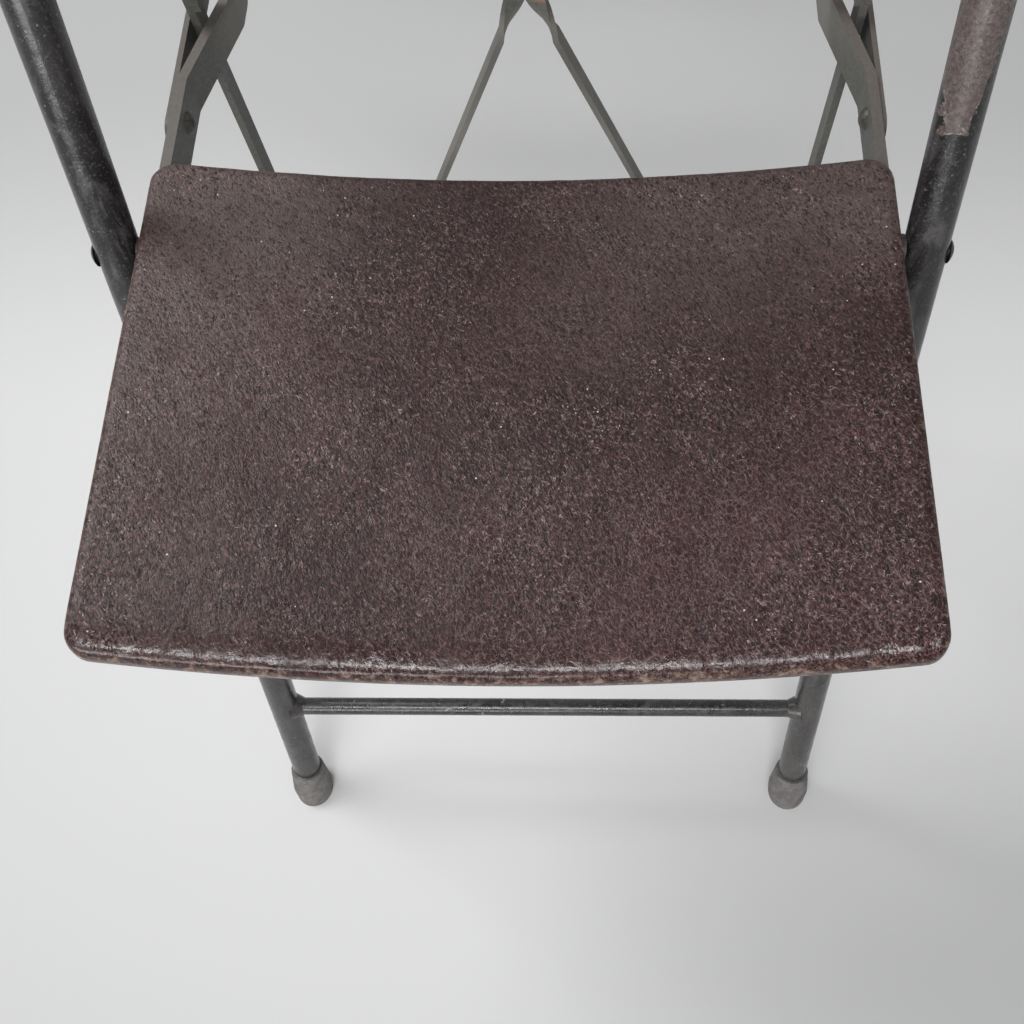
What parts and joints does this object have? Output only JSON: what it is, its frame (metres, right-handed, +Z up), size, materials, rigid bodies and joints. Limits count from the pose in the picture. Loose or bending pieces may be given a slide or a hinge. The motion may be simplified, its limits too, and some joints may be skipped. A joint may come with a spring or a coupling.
{
  "type": "folding chair",
  "caption": "Tubular steel folding chair: leaning bent-tube frame, dished padded seat on forked rails, curved padded backrest and hinged flat-bar rear legs.",
  "frame": {"origin": "on the floor, under the middle of the chair's depth and width", "axes": "+Z up, +X across the chair to the right as seen from in front, -Y to the front"},
  "size_m": [0.3932, 0.3808, 0.867],
  "materials": {
    "black_enamel": "worn black enamel with chips and dents",
    "olive_enamel": "dull olive-grey enamel, scuffed at its edges",
    "leatherette": "dark brown leatherette with fine wrinkles, reddish where it is rubbed",
    "plywood": "plain bent plywood, oiled",
    "cap_rubber": "dusty dark grey rubber",
    "rivet_steel": "darkened steel with traces of paint and rust"
  },
  "bodies": {
    "front_frame": {"backrest_board": "plywood", "backrest_board_screws": "rivet_steel", "backrest_cover": "leatherette", "backrest_strap_lower": "black_enamel", "backrest_strap_upper": "black_enamel", "backrest_tube_screws": "rivet_steel", "frame_tube": "black_enamel", "front_foot_cap_left": "cap_rubber", "front_foot_cap_right": "cap_rubber", "front_stretcher": "black_enamel", "leg_pivot_rivets": "rivet_steel", "leg_pivot_spacers": "rivet_steel", "leg_stop_lugs": "black_enamel", "seat_pivot_rivets": "rivet_steel", "seat_pivot_washers": "rivet_steel", "stretcher_welds": "black_enamel"},
    "seat": {"board_screws": "rivet_steel", "fork_cheek_left": "olive_enamel", "fork_cheek_right": "olive_enamel", "fork_rivets": "rivet_steel", "seat_board": "plywood", "seat_cover": "leatherette", "seat_rail_left": "olive_enamel", "seat_rail_right": "olive_enamel", "seat_strap_front": "olive_enamel", "seat_strap_rear": "olive_enamel", "strap_rivets": "rivet_steel"},
    "rear_frame": {"brace_apex_rivet": "rivet_steel", "brace_foot_rivets": "rivet_steel", "crossbar_rivets": "rivet_steel", "rear_brace_left": "olive_enamel", "rear_brace_right": "olive_enamel", "rear_crossbar": "olive_enamel", "rear_foot_cap_left": "cap_rubber", "rear_foot_cap_right": "cap_rubber", "rear_leg_left": "olive_enamel", "rear_leg_right": "olive_enamel"}
  },
  "joints": [
    {"name": "seat_fold", "type": "hinge", "parent": "front_frame", "child": "seat", "pos_m": [0, 0.01063, 0.44], "axis": [-1, 0, 0], "range_deg": [0, 98]},
    {"name": "rear_fold", "type": "hinge", "parent": "front_frame", "child": "rear_frame", "pos_m": [0, 0.13559, 0.76554], "axis": [-1, 0, 0], "range_deg": [0, 16.66]}
  ],
  "couplings": [
    {"joint": "rear_fold", "follows": "seat_fold", "ratio": 0.17}
  ]
}
